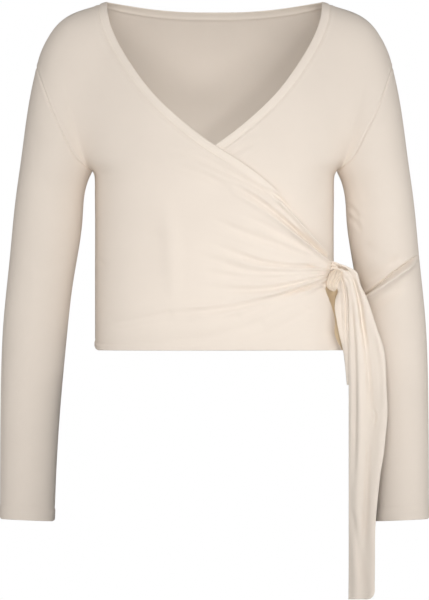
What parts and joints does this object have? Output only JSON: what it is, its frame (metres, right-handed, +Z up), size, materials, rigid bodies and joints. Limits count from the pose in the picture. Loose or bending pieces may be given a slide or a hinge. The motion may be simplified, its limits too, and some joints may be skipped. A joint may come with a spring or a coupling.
{
  "type": "wrap top",
  "caption": "Cropped long-sleeved wrap top in thin jersey, V neck with a folded band, tied in a knot at the side with a long hanging tie, in its worn, hollow form.",
  "frame": {"origin": "midway between the two shoulder neck points, at shoulder-line height, where the wearer's shoulders hold it", "axes": "+X to the wearer's left, +Y to the wearer's back, +Z up"},
  "size_m": [0.5358, 0.1891, 0.7449],
  "materials": {
    "jersey": "fine matt jersey",
    "jersey_band": "fine matt jersey, doubled"
  },
  "bodies": {
    "root": {"back": "jersey", "front_right": "jersey", "front_left": "jersey", "sleeve_right": "jersey", "sleeve_left": "jersey", "neckband_back": "jersey_band", "neckband_right": "jersey_band", "neckband_left": "jersey_band", "knot": "jersey_band", "tie_short": "jersey_band", "tie_long": "jersey_band"}
  },
  "joints": []
}
